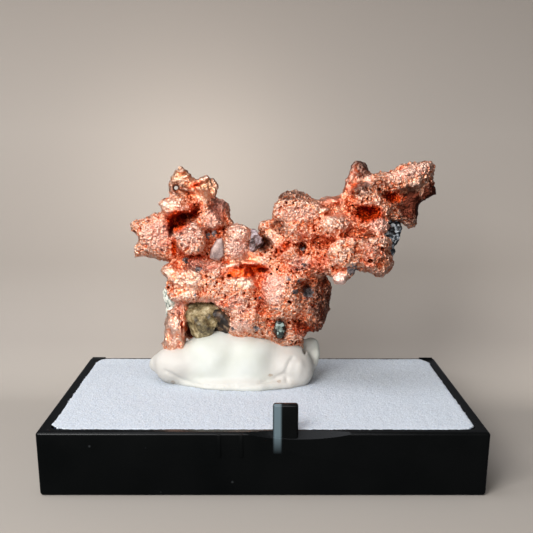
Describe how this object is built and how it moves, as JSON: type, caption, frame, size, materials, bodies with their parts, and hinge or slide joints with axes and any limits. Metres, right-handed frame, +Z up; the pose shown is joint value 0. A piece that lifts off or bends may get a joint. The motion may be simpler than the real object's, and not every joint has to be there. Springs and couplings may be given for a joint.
{
  "type": "native copper nugget on a specimen box base",
  "caption": "Lumpy two-armed native copper nugget with small stones in it, held upright in white putty on the foam of a shallow black specimen box base.",
  "frame": {"origin": "middle of the tray's underside, which is the bottom centre of the whole object's box", "axes": "+X along the tray's long side, to the right seen from the latch; +Y to the back, away from the latch; +Z up"},
  "size_m": [0.082, 0.06, 0.0597],
  "materials": {
    "copper": "bright, pitted native copper",
    "olive_stone": "matt, grainy",
    "brown_stone": "matt, grainy",
    "green_rock": "matt, grainy",
    "dark_rock": "dull, with small bright facets",
    "foot_stone": "dull",
    "quartz": "greasy, slightly see-through",
    "grey_stone": "dull",
    "putty": "matt, kneaded by hand",
    "foam": "fine-celled, matt",
    "tray": "satin to gloss moulded plastic"
  },
  "bodies": {
    "root": {"copper_nugget": "copper", "olive_stone": "olive_stone", "brown_stone": "brown_stone", "green_rock": "green_rock", "dark_rock": "dark_rock", "foot_stone": "foot_stone", "quartz_crystal": "quartz", "grey_stone": "grey_stone", "mounting_putty": "putty", "foam_pad": "foam", "tray": "tray"}
  },
  "joints": []
}
